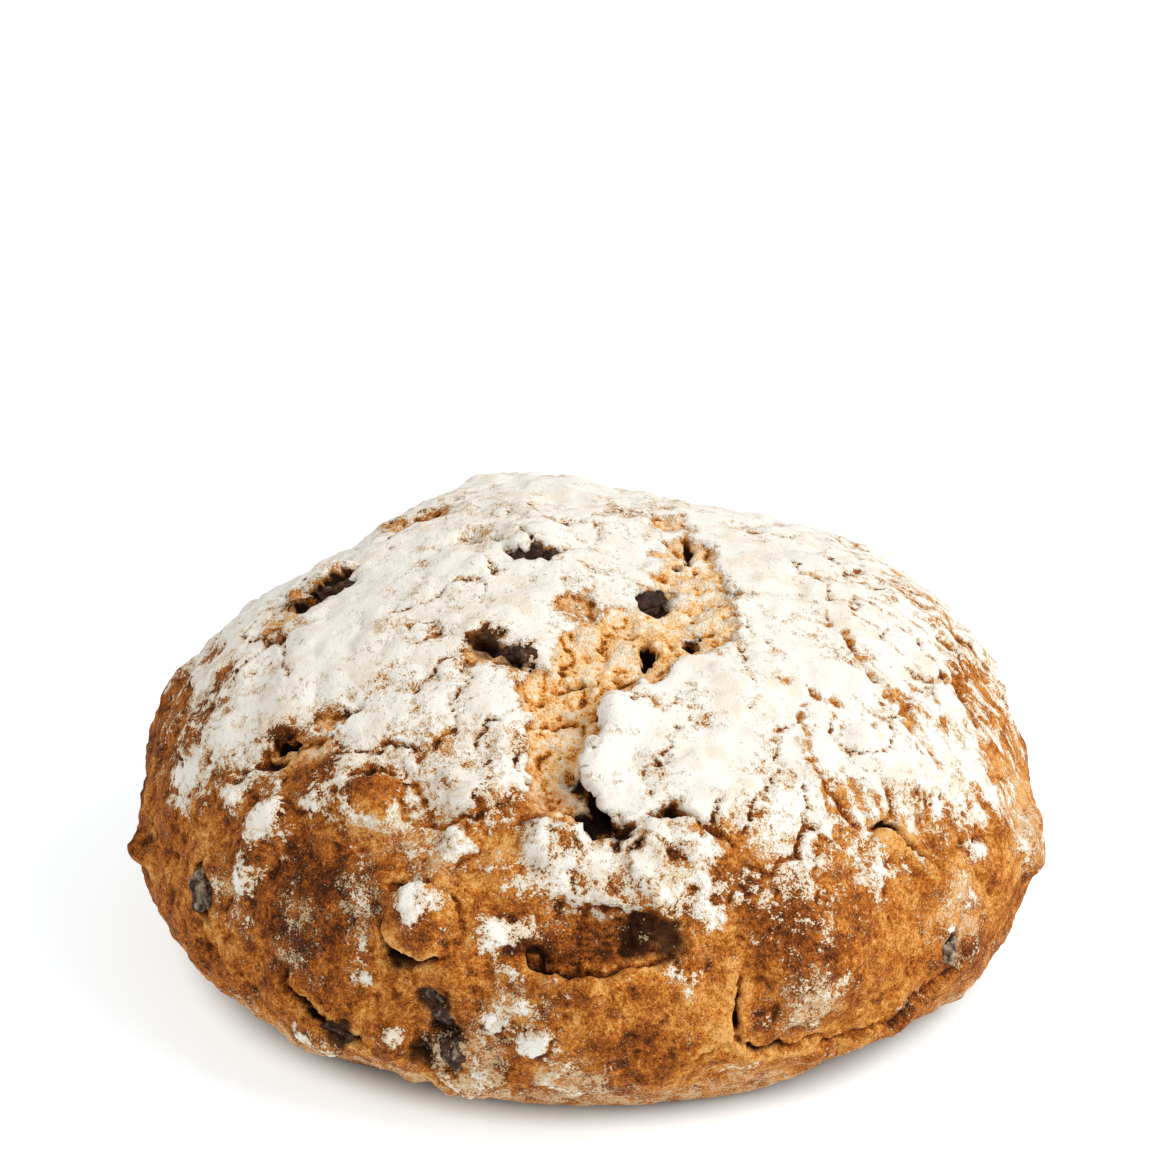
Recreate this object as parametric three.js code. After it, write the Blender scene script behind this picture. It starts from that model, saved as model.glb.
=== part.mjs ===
// A round fruit loaf, baked free-standing on a flat oven sole.
// One closed solid in millimetres: +Z up, the front towards -Y, the origin at
// the middle of the flat sole. The body is a dome with a soft waist near its
// foot, lumps where fruit and dough push the crust out, and hollows where the
// crust split in the oven and where folds of dough meet.
import * as THREE from "three";
import { mergeVertices } from "three/addons/utils/BufferGeometryUtils.js";

// ---- Driving dimensions, mm ----
const loafWidth = 200; // left to right, along X
const loafDepth = 190; // front to back, along Y
const loafHeight = 92; // sole to crown
const waistHeight = 25; // level of the widest girth
const undercut = 22; // how far the round foot would reach below the flat sole
const crownShift = { left: 7, back: 6 }; // the crown leans this far off centre
const domeFullness = 0.96; // below 1 squares the dome off, above 1 points it
const meshDetail = 17; // icosphere steps: about 5 mm between vertices

// ---- Lumps and hollows of the dough ----
// azimuth and climb in degrees: azimuth 0 is the right and 90 the back, climb 0
// is the waist and 90 the crown. spread is the angular radius in degrees, and
// rise is the height in mm, negative for a hollow.
const shoulders = [
  { azimuth: 105, climb: 58, spread: 18, rise: 3.5 }, // crown
  { azimuth: 148, climb: 48, spread: 17, rise: -4 }, // straight left slope
  { azimuth: 22, climb: 37, spread: 24, rise: 5.5 }, // broad right shoulder
  { azimuth: 60, climb: 56, spread: 15, rise: -2.5 }, // dip beside the crown
  { azimuth: 172, climb: 18, spread: 12, rise: 2 }, // left cheek
  { azimuth: 75, climb: 22, spread: 22, rise: 2 }, // back, right of the middle
  { azimuth: 128, climb: 12, spread: 16, rise: 1.5 }, // back, left of the middle
];
const foot = [
  { azimuth: 243, climb: -28, spread: 12, rise: -4 }, // notch under the left lobe
  { azimuth: 215, climb: -20, spread: 12, rise: -2 },
  { azimuth: 275, climb: -26, spread: 18, rise: -2.5 },
  { azimuth: 310, climb: -25, spread: 10, rise: -5 }, // notch under the right lobe
  { azimuth: 340, climb: -4, spread: 8, rise: -2 },
  { azimuth: 30, climb: -22, spread: 14, rise: -2 },
  { azimuth: 95, climb: -24, spread: 12, rise: -3 },
  { azimuth: 150, climb: -22, spread: 12, rise: -2.5 },
];
const lobes = [
  { azimuth: 232, climb: 36, spread: 7, rise: 2.5 }, // knob over a fruit
  { azimuth: 250, climb: 23, spread: 6, rise: 3 }, // knob low on the front
  { azimuth: 219, climb: 24, spread: 8, rise: 1.5 },
  { azimuth: 272, climb: 3, spread: 13, rise: 2 }, // front lobe
  { azimuth: 298, climb: 11, spread: 11, rise: 2 }, // right front lobe
  { azimuth: 347, climb: 6, spread: 6, rise: 2 }, // small knob on the right
  { azimuth: 191, climb: 3, spread: 6, rise: 1.5 }, // flap on the left
  { azimuth: 262, climb: 31, spread: 7, rise: 1.5 },
  { azimuth: 110, climb: 30, spread: 8, rise: 2 },
  { azimuth: 50, climb: 12, spread: 9, rise: 2 },
];
const splits = [
  { azimuth: 345, climb: 78, spread: 7, rise: -2 }, // top of the main tear
  { azimuth: 303, climb: 71, spread: 8, rise: -2.5 },
  { azimuth: 280, climb: 64, spread: 8, rise: -2.5 },
  { azimuth: 267, climb: 54, spread: 7, rise: -3 },
  { azimuth: 268, climb: 42, spread: 6, rise: -3.5 }, // its deepest end
  { azimuth: 267, climb: 18, spread: 6, rise: -2 }, // pocket under the tear
  { azimuth: 288, climb: 8, spread: 6, rise: -3 }, // seam between the lobes
  { azimuth: 300, climb: -5, spread: 6, rise: -2.5 },
  { azimuth: 251, climb: 2, spread: 6, rise: -2 }, // hollow with burst fruit
  { azimuth: 176, climb: 52, spread: 6, rise: -1.5 },
  { azimuth: 317, climb: 22, spread: 6, rise: -2.5 }, // crack on the right
];
const lumps = [...shoulders, ...foot, ...lobes, ...splits];

// The direction from the loaf's middle with this azimuth and climb.
function direction({ azimuth, climb }) {
  const turn = THREE.MathUtils.degToRad(azimuth);
  const tilt = THREE.MathUtils.degToRad(climb);
  return new THREE.Vector3(
    Math.cos(tilt) * Math.cos(turn),
    Math.cos(tilt) * Math.sin(turn),
    Math.sin(tilt),
  );
}

// The smooth dome under the lumps, for a unit direction.
function domePoint(unit) {
  const flat = Math.hypot(unit.x, unit.y);
  const reach = flat > 0 ? flat ** (domeFullness - 1) : 0;
  const point = new THREE.Vector3(
    (unit.x * reach * loafWidth) / 2,
    (unit.y * reach * loafDepth) / 2,
    waistHeight,
  );
  if (unit.z < 0) {
    point.z += (waistHeight + undercut) * unit.z;
    return point;
  }
  const lean = unit.z ** 2;
  point.x -= crownShift.left * lean;
  point.y += crownShift.back * lean;
  point.z += (loafHeight - waistHeight) * unit.z;
  return point;
}

// How far the lumps push the crust out at a unit direction, mm.
function lumpRise(unit) {
  let rise = 0;
  for (const lump of lumps) {
    const angle = THREE.MathUtils.radToDeg(unit.angleTo(direction(lump)));
    const share = angle / lump.spread;
    rise += lump.rise * Math.exp(-share * share);
  }
  return rise;
}

// Scales and centres the solid so that its box is exactly the driving size.
function fitToSize(geometry) {
  geometry.computeBoundingBox();
  const box = geometry.boundingBox;
  const size = box.getSize(new THREE.Vector3());
  const middle = box.getCenter(new THREE.Vector3());
  geometry.translate(-middle.x, -middle.y, -box.min.z);
  geometry.scale(
    loafWidth / size.x,
    loafDepth / size.y,
    loafHeight / size.z,
  );
}

function loafGeometry() {
  const sphere = new THREE.IcosahedronGeometry(1, meshDetail);
  sphere.deleteAttribute("normal");
  sphere.deleteAttribute("uv");
  const geometry = mergeVertices(sphere, 1e-5);
  const position = geometry.getAttribute("position");
  const unit = new THREE.Vector3();
  for (let i = 0; i < position.count; i++) {
    unit.fromBufferAttribute(position, i).normalize();
    const point = domePoint(unit).addScaledVector(unit, lumpRise(unit));
    position.setXYZ(i, point.x, point.y, Math.max(point.z, 0)); // flat sole
  }
  fitToSize(geometry);
  geometry.computeVertexNormals();
  return geometry;
}

const crust = new THREE.MeshStandardMaterial({
  color: 0xb9763a,
  roughness: 0.85,
  metalness: 0,
});

const loaf = new THREE.Mesh(loafGeometry(), crust);
loaf.name = "loaf";

const fruitLoaf = new THREE.Group();
fruitLoaf.add(loaf);

export default fruitLoaf;
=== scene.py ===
# A round fruit loaf with a floured, torn crust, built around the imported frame.
# Sizes are in millimetres and turned to metres where Blender needs them.
# Places are x, y, z from the middle of the sole, with the front towards -Y.
import math
from functools import partial

import bpy
import numpy as np
from mathutils import Matrix, Vector, noise
from mathutils.bvhtree import BVHTree


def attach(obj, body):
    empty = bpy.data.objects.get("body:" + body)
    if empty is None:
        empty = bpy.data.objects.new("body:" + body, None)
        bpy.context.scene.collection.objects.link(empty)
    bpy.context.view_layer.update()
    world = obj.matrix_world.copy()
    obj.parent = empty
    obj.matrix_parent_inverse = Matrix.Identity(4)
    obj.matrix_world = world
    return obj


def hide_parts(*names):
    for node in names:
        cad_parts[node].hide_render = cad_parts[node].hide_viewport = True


mm = 0.001
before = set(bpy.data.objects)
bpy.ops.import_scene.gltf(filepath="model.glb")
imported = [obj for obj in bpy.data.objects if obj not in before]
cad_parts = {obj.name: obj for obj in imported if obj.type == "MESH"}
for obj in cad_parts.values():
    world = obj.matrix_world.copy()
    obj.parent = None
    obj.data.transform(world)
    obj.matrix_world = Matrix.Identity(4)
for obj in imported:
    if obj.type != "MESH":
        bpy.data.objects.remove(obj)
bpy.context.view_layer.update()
scene = bpy.context.scene
print("loaf: frame loaded")


def onlySelect(piece):
    bpy.ops.object.select_all(action="DESELECT")
    piece.select_set(True)
    bpy.context.view_layer.objects.active = piece


def applyModifier(piece, kind, **settings):
    modifier = piece.modifiers.new(kind.lower(), kind)
    for name, value in settings.items():
        setattr(modifier, name, value)
    onlySelect(piece)
    bpy.ops.object.modifier_apply(modifier=modifier.name)


def readValues(items, name, each=1):
    values = np.empty(len(items) * each, np.float32)
    items.foreach_get(name, values)
    return values.astype(float)


def pointsOf(piece):
    return readValues(piece.data.vertices, "co", 3).reshape(-1, 3) / mm


def normalsOf(piece):
    return readValues(piece.data.vertex_normals, "vector", 3).reshape(-1, 3)


def movePoints(piece, points):
    piece.data.vertices.foreach_set("co", (points * mm).astype(np.float32).ravel())
    piece.data.update()


def storeField(piece, name, values):
    attribute = piece.data.attributes.new(name, "FLOAT", "POINT")
    attribute.data.foreach_set("value", values.astype(np.float32))


def fieldOf(piece, name):
    return readValues(piece.data.attributes[name].data, "value")


def ramp(values, low, high):
    # 0 below low, 1 above high, smooth between, and the other way round when low is greater
    share = np.clip((values - low) / (high - low), 0, 1)
    return share * share * (3 - 2 * share)


def noiseAt(points, size, octaves=2, shift=0.0):
    # features about size mm across, roughly -1 to 1
    places = (points / size + (shift, 2 * shift, -shift)).tolist()
    return np.array([noise.fractal(place, 0.8, 2.0, octaves) for place in places])


def ridgesAt(points, size, octaves=2, shift=0.0):
    # sharp creases between round swells, 0 in a crease to about 1
    places = (points / size + (shift, 2 * shift, -shift)).tolist()
    return np.array([noise.turbulence(place, octaves, True) for place in places])


def poresAt(points, size, where, shift=0.0):
    # round pits about size mm apart, 1 in the middle of a pit, only where asked for
    pits = np.zeros(len(points))
    chosen = np.flatnonzero(where)
    places = (points[chosen] / size + shift).tolist()
    pits[chosen] = [1 - min(noise.voronoi(place)[0][0] / 0.5, 1) for place in places]
    return pits


def strayed(points, size, reach, normals=None, shift=0.0):
    # moves places about, so that an edge drawn from them is ragged, along the surface only
    # where normals are given
    offsets = [noiseAt(points, size, 3, shift + turn) for turn in (3.1, 7.7, 12.9)]
    offsets = reach * np.stack(offsets, axis=1)
    if normals is not None:
        offsets -= normals * (offsets * normals).sum(axis=1)[:, None]
    return points + offsets


def onSurface(piece, place):
    # the nearest point of the piece's surface and its normal, in mm
    found, point, normal, face = piece.closest_point_on_mesh(Vector(place) * mm)
    return point / mm, normal


def gapsTo(points, piece, rows):
    # for each row, how far the points are from its place on the surface, and its last entries
    for x, y, z, *rest in rows:
        middle, normal = onSurface(piece, (x, y, z))
        yield np.linalg.norm(points - middle, axis=1), *rest


def insideBlobs(points, piece, blobs):
    # how far inside the nearest blob (x, y, z, radius) each point is, negative outside
    inside = np.full(len(points), -99.0)
    for gap, radius in gapsTo(points, piece, blobs):
        inside = np.maximum(inside, radius - gap)
    return inside


def patchSum(points, piece, patches):
    # adds up soft round patches (x, y, z, reach, amount)
    total = np.zeros(len(points))
    for gap, reach, amount in gapsTo(points, piece, patches):
        total += amount * np.exp(-((gap / reach) ** 2))
    return total


def domeSum(points, piece, domes):
    # adds up round knobs (x, y, z, radius, rise), each with a crease at its foot
    total = np.zeros(len(points))
    for gap, radius, rise in gapsTo(points, piece, domes):
        total += rise * np.clip(1 - (gap / radius) ** 2, 0, 1)
    return total


def nearRoute(points, normals, piece, route):
    # distance to the route, share of the way along it, and distance to its side, which is
    # positive to the left of a route that runs downhill and below one that runs to the right
    gap = np.full(len(points), 999.0)
    along = np.zeros(len(points))
    side = np.zeros(len(points))
    route = np.array([onSurface(piece, place)[0] for place in route])
    for i in range(len(route) - 1):
        step = route[i + 1] - route[i]
        share = np.clip((points - route[i]) @ step / (step @ step), 0, 1)
        away = points - route[i] - share[:, None] * step
        distance = np.linalg.norm(away, axis=1)
        nearer = distance < gap
        aside = (np.cross(step / np.linalg.norm(step), normals) * away).sum(axis=1)
        gap[nearer] = distance[nearer]
        side[nearer] = aside[nearer]
        along[nearer] = (i + share[nearer]) / (len(route) - 1)
    return gap, along, side


def hexColour(code):
    # sRGB hex to linear
    channels = [int(code[i : i + 2], 16) / 255 for i in (1, 3, 5)]
    return [c / 12.92 if c <= 0.04045 else ((c + 0.055) / 1.055) ** 2.4 for c in channels] + [1]


# settings that many nodes share
multiply = {"operation": "MULTIPLY"}
multiplyAdd = {"operation": "MULTIPLY_ADD"}
subtract = {"operation": "SUBTRACT"}
mixColours = {"data_type": "RGBA"}
smooth = {"interpolation_type": "SMOOTHSTEP"}


def addNode(tree, kind, settings={}, inputs={}, output=0):
    # adds a node, sets it up, fills or links its inputs and gives back one of its outputs
    node = tree.nodes.new("ShaderNode" + kind)
    for name, value in settings.items():
        if name == "stops":
            for position, code in value[1:-1]:
                node.color_ramp.elements.new(position)
            for element, (position, code) in zip(node.color_ramp.elements, value):
                element.position = position
                element.color = hexColour(code)
        else:
            setattr(node, name, value)
    for name, value in inputs.items():
        if isinstance(value, bpy.types.NodeSocket):
            tree.links.new(value, node.inputs[name])
        else:
            node.inputs[name].default_value = value
    return node.outputs[output] if node.outputs else node


def newMaterial(name):
    material = bpy.data.materials.new(name)
    material.use_nodes = True
    material.node_tree.nodes.clear()
    return material, partial(addNode, material.node_tree)


# What is modelled on the crust, in millimetres. Rows of places hold x, y, z, then a radius or
# a reach, then a height. A crack has how far the dough stands up on its one side, its half
# width and its depth at the start, middle and end, and its route.
crust = {
    "smoothing": 2,
    "grain": 0.8,  # size of the remeshed faces
    "triangles": 196000,
    "waves": (24, 1.0),  # size across and height of the dough's own unevenness
    "billows": (17, 1.8),
    "widePasses": 60,  # smoothing that the lobes and hollows are told from
    "finePasses": 8,  # smoothing that the small creases are told from
    "domes": [  # knobs and lobes of dough
        (-44, -65, 65, 9, 5.0), (-33, -83, 50, 8.5, 4.3), (-26, -88, 39, 6, 2.4),
        (-40, -85, 23, 6, 3.5), (-54, -77, 17, 8, 3.2), (-22, -87, 12, 9, 3.2),
        (22, -91, 33, 15, 2.4), (44, -83, 38, 21, 3.0), (0, -93, 34, 14, 2.0),
        (95, -28, 33, 7, 2.7), (-97, -24, 31, 5, 2.4), (-65, -58, 57, 7, 2.4),
        (-73, -50, 55, 4, 1.6), (-70, -61, 46, 5, 1.6), (-24, -67, 68, 7, 2.7),
        (-26, -75, 61, 4, 1.9), (-10, -94, 27, 7, 1.8), (-6, -75, 63, 8, 3.0),
        (15, -75, 62, 5, 2.4), (21, -75, 61, 5, 1.9), (75, -23, 65, 6, 1.6), (68, -46, 60, 8, 1.6),
        (-12, 4, 92, 9, 3.0), (60, -78, 14, 10, 2.2), (47, -80, 14, 5, 2.2), (10, -92, 14, 12, 1.6),
        (-80, -52, 20, 10, 1.9), (30, 70, 60, 13, 2.7), (-30, 74, 55, 10, 3.0),
        (60, 64, 34, 14, 2.7), (-66, 60, 30, 12, 2.7), (0, 88, 28, 15, 2.4), (-88, 24, 32, 10, 2.2),
        (92, 18, 30, 11, 2.2), (-20, 60, 76, 12, 2.2), (42, 82, 20, 8, 2.7), (-40, 84, 16, 9, 2.7),
    ],
    "hollows": [  # soft dips
        (-4, -88, 48, 8, -4.2), (6, -87, 49, 7, -3.2), (-32, -88, 26, 5, -1.6),
        (-36, -82, 40, 4, -1.6), (-60, -50, 68, 6, -1.4), (-59, 0, 80, 5, -1.5),
        (70, -54, 48, 6, -1.2), (3, -72, 64, 6, -2.0), (-47, -8, 86, 10, -0.8),
        (30, 62, 68, 6, -2.4), (-44, 66, 56, 7, -2.0),
    ],
    "tearFloor": [  # the wide tear from the crown to the front: radius, then how deep it lies
        (17, 31, 88, 4, 0.4), (19, 19, 90, 6, 0.6), (22, 5, 90, 8, 0.9), (23, -8, 88, 11, 1.1),
        (20, -22, 86, 13, 1.5), (10, -30, 84, 12, 1.7), (1, -38, 82, 11, 1.8),
        (-5, -46, 79, 10, 2.4), (-4, -54, 76, 9, 3.6), (-7, -61, 71, 8, 4.0), (-6, -67, 67, 6, 3.6),
    ],
    "tearLip": [  # its right edge, where the floured crust stands over the floor
        (24, 20, 89), (29, 4, 88), (33, -12, 86), (33, -24, 84), (25, -33, 83), (18, -40, 81),
        (11, -43, 80), (4, -47, 79), (3, -54, 76), (0, -60, 72), (-2, -66, 68), (2, -72, 64),
        (7, -77, 60), (10, -82, 56),
    ],
    "lipRise": 1.6,
    "lipEase": ((0, 0.3, 0.45), (5, 4, 0.8)),  # share of its way along, and how softly it starts
    "slabReach": 12,  # how far the raised crust runs back from the lip
    "smallTearDepth": 1.3,
    "smallTears": [
        (-42, 28, 86, 6), (-35, 28, 88, 5), (-26, 8, 91, 5), (-2, -22, 88, 6), (-20, -36, 85, 6),
        (-11, -41, 83, 6), (-66, -2, 77, 6), (-56, -50, 69, 4), (-63, -47, 66, 5),
        (-53, -44, 73, 4), (-5, -76, 62, 4), (30, 62, 70, 6), (20, 70, 62, 5), (-40, 66, 58, 5),
    ],
    "cracks": [
        (-1.6, (0.8, 1.8, 2.2), (1.0, 3.5, 4.5),  # down the left edge of the slab and under it
         [(8, -46, 79), (4, -50, 77), (2, -56, 75), (-1, -62, 71), (-3, -67, 67), (1, -71, 64),
          (6, -74, 62)]),
        (-4.0, (0.8, 1.8, 0.8), (1.5, 3.5, 1.5),  # under the flap on the left of the crown
         [(-68, 3, 77), (-62, 1, 80), (-56, 2, 82), (-50, 6, 84)]),
        (-1.5, (0.8, 2.2, 0.8), (1.0, 3.5, 1.5),
         [(-18, -1, 91), (-12, -4, 92), (-5, -3, 92)]),
        (-1.2, (0.8, 1.8, 1.4), (0.8, 2.2, 3.0),
         [(-28, -32, 85), (-21, -34, 85), (-15, -37, 84), (-11, -41, 83)]),
        (0, (0.9, 1.6, 1.2), (2.0, 5.0, 4.0),  # slots in the torn crumb
         [(11, -38, 83), (12, -34, 84), (12, -30, 85)]),
        (0, (0.6, 1.3, 0.9), (1.0, 3.0, 2.0),
         [(21, 15, 90), (22, 8, 90), (21, 1, 90)]),
        (0.5, (0.6, 1.0, 0.6), (1.0, 2.5, 1.0),
         [(27, -7, 88), (31, -10, 87), (36, -11, 86)]),
        (0, (0.8, 1.1, 0.7), (1.0, 1.8, 1.0),
         [(-8, -43, 80), (-3, -41, 81), (3, -42, 81)]),
        (0.5, (0.6, 1.0, 0.8), (0.8, 1.6, 1.0),
         [(-12, -53, 76), (-7, -51, 77), (-2, -50, 77)]),
        (1.8, (0.5, 0.8, 0.8), (1.5, 2.2, 2.6),  # upper seam on the right of the front
         [(29, -85, 39), (29, -87, 34), (28, -89, 30), (29, -90, 27)]),
        (1.6, (0.6, 0.9, 0.6), (1.2, 2.4, 1.0),  # lower seam, under the right lobe
         [(28, -90, 28), (30, -90, 25), (33, -88, 22), (38, -87, 21), (43, -83, 21), (48, -80, 20)]),
        (2.2, (0.6, 0.7, 0.5), (1.1, 0.9, 0.4),
         [(46, -80, 18), (52, -77, 20), (60, -73, 20), (70, -66, 23), (80, -57, 26)]),
        (1.8, (0.9, 0.9, 0.6), (2.6, 2.2, 1.2),  # under the golden lobe
         [(29, -88, 30), (26, -90, 27), (22, -92, 25), (18, -93, 22)]),
        (1.0, (0.6, 0.8, 0.6), (1.0, 1.6, 1.0),
         [(29, -89, 25), (27, -89, 20), (23, -90, 15), (20, -88, 12)]),
        (1.6, (0.6, 1.4, 0.5), (1.5, 3.8, 1.2),  # across the right shoulder
         [(56, -61, 57), (61, -57, 56), (64, -56, 54), (66, -56, 50), (69, -56, 46), (74, -56, 41)]),
        (2.6, (1.1, 1.2, 0.7), (2.0, 2.2, 0.9),  # pocket over the front lip
         [(-13, -86, 45), (-11, -88, 42), (-7, -90, 40), (-2, -91, 40), (4, -91, 41), (10, -91, 43),
          (16, -89, 44)]),
        (-0.8, (0.8, 1.8, 0.7), (1.5, 3.0, 1.0),  # slit beside the raisin on the left cheek
         [(-79, -50, 46), (-81, -53, 39), (-79, -57, 31), (-77, -60, 24)]),
        (0.8, (1.1, 0.9, 0.8), (2.0, 1.4, 1.0),
         [(-41, -78, 53), (-37, -80, 55), (-31, -81, 55), (-26, -83, 52), (-24, -86, 47)]),
        (-1.6, (0.8, 1.2, 0.6), (1.5, 2.8, 1.0),
         [(-42, -79, 47), (-40, -83, 42), (-36, -86, 40), (-31, -88, 42), (-27, -88, 44)]),
        (1.6, (0.5, 0.9, 1.0), (1.3, 2.2, 2.2),
         [(-61, -72, 31), (-61, -74, 27), (-58, -76, 24), (-53, -79, 22), (-47, -82, 20),
          (-43, -85, 18)]),
        (0.6, (0.6, 1.0, 0.8), (0.8, 1.6, 1.5),
         [(-52, -46, 73), (-56, -48, 70), (-60, -47, 69), (-66, -48, 65)]),
        (0, (0.6, 1.0, 0.6), (0.8, 1.4, 0.8),
         [(-37, -62, 70), (-42, -60, 69), (-47, -60, 67), (-50, -64, 63)]),
        (-0.6, (0.6, 0.9, 0.6), (1.0, 1.8, 1.0),
         [(-24, -84, 11), (-28, -85, 14), (-34, -86, 16), (-40, -85, 15)]),
        (0.5, (0.8, 0.7, 0.5), (0.9, 0.7, 0.4),
         [(19, -41, 81), (23, -44, 79), (29, -44, 78), (34, -46, 76), (40, -50, 73)]),
        (0.4, (0.5, 0.9, 0.6), (0.5, 0.9, 0.5),
         [(10, -61, 73), (14, -62, 72), (18, -60, 72), (22, -58, 73)]),
        (0.6, (0.7, 1.2, 0.7), (0.9, 1.4, 0.9),
         [(10, -72, 65), (15, -70, 66), (20, -71, 65), (25, -73, 61), (29, -74, 59)]),
        (0, (0.6, 0.9, 0.5), (0.8, 1.2, 0.6),
         [(-20, -72, 65), (-25, -71, 65), (-30, -72, 64), (-34, -70, 65)]),
        (0.5, (0.8, 1.3, 0.8), (0.5, 1.0, 0.5),
         [(52, -15, 79), (55, -20, 77), (59, -28, 73), (64, -29, 70), (66, -33, 67)]),
        (0.3, (0.6, 1.0, 0.8), (0.4, 0.8, 1.2),
         [(56, -46, 67), (58, -49, 63), (61, -53, 59), (63, -56, 55)]),
        (0.3, (0.7, 1.2, 0.8), (0.4, 0.9, 1.2),
         [(45, -54, 68), (48, -57, 64), (51, -60, 60), (56, -61, 57)]),
        (1.6, (1.4, 2.4, 1.0), (3, 5, 2),  # the back
         [(30, 64, 69), (23, 72, 60), (18, 80, 50), (22, 86, 38)]),
        (1.4, (1.0, 1.8, 0.9), (2, 4, 2),
         [(-42, 64, 60), (-50, 66, 50), (-52, 70, 38), (-46, 78, 26)]),
        (-1.6, (0.8, 1.5, 0.8), (1.5, 3, 1.5),
         [(90, 16, 28), (82, 36, 24), (68, 54, 22), (52, 70, 24), (36, 82, 26)]),
        (1.3, (0.7, 1.2, 0.7), (1.2, 2.4, 1.2),
         [(-92, 10, 30), (-88, 30, 24), (-78, 46, 22), (-64, 60, 20)]),
    ],
    "holes": [  # burst and torn hollows: place, radius, depth and the way each leans inward
        (1, -59, 73, 2.0, 6, (0.7, 0.1, -0.7)), (-1, -63, 70, 2.8, 8, (0.7, 0.2, -0.7)),
        (-2, -67, 67, 3.6, 8, (0.7, 0.3, -0.6)), (2, -71, 65, 3.0, 8, (0.4, 0.7, -0.6)),
        (6, -73, 63, 2.2, 6, (0.3, 0.8, -0.5)), (3, -53, 76, 1.6, 5, (0.7, 0.1, -0.6)),
        (4, -48, 78, 1.3, 4, (0.7, 0.1, -0.6)), (9, -79, 58, 1.4, 4, (0.4, 0.8, -0.3)),
        (13, -15, 88, 3.2, 7, (-0.3, 0.6, -0.7)), (17, -12, 88, 2.2, 5, (0.2, 0.6, -0.7)),
        (12, -36, 83, 1.6, 9, (0.2, 0.5, -0.9)), (12, -32, 84, 1.4, 9, (0.2, 0.4, -0.9)),
        (21, -29, 85, 2.2, 5, (-0.1, 0.6, -0.8)), (29, -27, 84, 1.5, 5, (0.2, 0.6, -0.8)),
        (31, -10, 87, 1.5, 4, (0.4, 0.4, -0.8)), (34, -17, 85, 1.2, 4, (0.4, 0.4, -0.8)),
        (21, 8, 90, 1.8, 4, (0.1, 0.4, -0.9)), (20, 0, 90, 2.0, 4, (0.1, 0.4, -0.9)),
        (9, 20, 90, 1.8, 3, (0.1, 0.4, -0.9)), (-12, -4, 92, 2.8, 6, (-0.2, 0.8, -0.6)),
        (-8, -5, 92, 2.2, 6, (0.2, 0.8, -0.6)), (-22, -34, 85, 2.0, 4, (0.1, 0.7, -0.6)),
        (-12, -39, 83, 2.2, 5, (0.1, 0.7, -0.6)), (-3, -41, 81, 1.3, 3, (0.1, 0.7, -0.6)),
        (3, -41, 81, 1.2, 3, (0.1, 0.7, -0.6)), (-1, -49, 77, 1.4, 3, (0.5, 0.5, -0.6)),
        (-65, 3, 78, 2.0, 6, (0.3, 0.7, -0.5)), (-61, 1, 80, 2.6, 7, (0.2, 0.8, -0.5)),
        (-56, 0, 82, 2.2, 7, (0.2, 0.8, -0.5)), (-51, 1, 84, 1.8, 6, (0.2, 0.8, -0.5)),
        (-61, -13, 78, 1.3, 4, (0.2, 0.6, -0.7)), (-64, -46, 67, 2.6, 6, (0.6, 0.6, -0.5)),
        (-61, -46, 68, 2.2, 5, (0.4, 0.6, -0.5)), (-50, -45, 74, 1.0, 4, (0.4, 0.6, -0.7)),
        (25, -90, 19, 0.9, 3, (0.2, 0.9, 0.1)), (-56, -48, 70, 1.2, 5, (0.4, 0.6, -0.7)),
        (-54, -42, 73, 1.1, 4, (0.4, 0.6, -0.7)), (-55, -30, 78, 0.9, 3, (0.3, 0.5, -0.8)),
        (-41, -34, 82, 1.1, 3, (0.3, 0.5, -0.8)), (-34, -38, 82, 1.0, 3, (0.3, 0.5, -0.8)),
        (-26, 6, 91, 1.8, 4, (-0.1, 0.5, -0.9)), (-20, 3, 92, 1.8, 4, (0.1, 0.6, -0.8)),
        (-43, 27, 86, 1.8, 4, (0.1, 0.4, -0.9)), (-38, 28, 88, 2.0, 4, (0.1, 0.4, -0.9)),
        (-31, 36, 88, 1.8, 4, (0.3, 0.4, -0.9)), (-10, -88, 43, 1.4, 8, (0.1, 0.9, 0.1)),
        (-22, -88, 43, 1.0, 4, (0.2, 0.9, 0.1)), (-39, -83, 41, 1.4, 4, (0.4, 0.9, 0.1)),
        (12, -92, 38, 0.9, 3, (0.1, 0.9, 0.1)), (64, -71, 28, 0.9, 3, (-0.6, 0.7, 0.1)),
        (91, -36, 35, 0.9, 3, (-0.9, 0.3, 0)), (91, -36, 33, 0.8, 3, (-0.9, 0.3, 0)),
        (-28, -89, 27, 1.6, 3, (0.2, 0.9, 0.1)), (-35, -88, 21, 1.6, 3, (0.3, 0.9, 0.1)),
        (28, 66, 68, 2.8, 6, (0.2, -0.6, -0.7)), (21, 73, 59, 2.2, 5, (0.2, -0.7, -0.5)),
        (-41, 67, 58, 2.4, 5, (0.3, -0.7, -0.5)), (40, 70, 55, 1.8, 4, (-0.3, -0.7, -0.5)),
        (-85, 32, 42, 1.6, 4, (0.8, -0.3, -0.2)),
    ],
}


def startDough():
    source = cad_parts["loaf"]
    piece = bpy.data.objects.new("baked_crust", source.data.copy())
    scene.collection.objects.link(piece)
    onlySelect(piece)
    bpy.ops.object.mode_set(mode="EDIT")
    bpy.ops.mesh.select_all(action="SELECT")
    bpy.ops.mesh.remove_doubles(threshold=0.01 * mm)
    bpy.ops.object.mode_set(mode="OBJECT")
    levels = crust["smoothing"]
    applyModifier(piece, "SUBSURF", levels=levels, render_levels=levels)
    return piece


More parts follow.
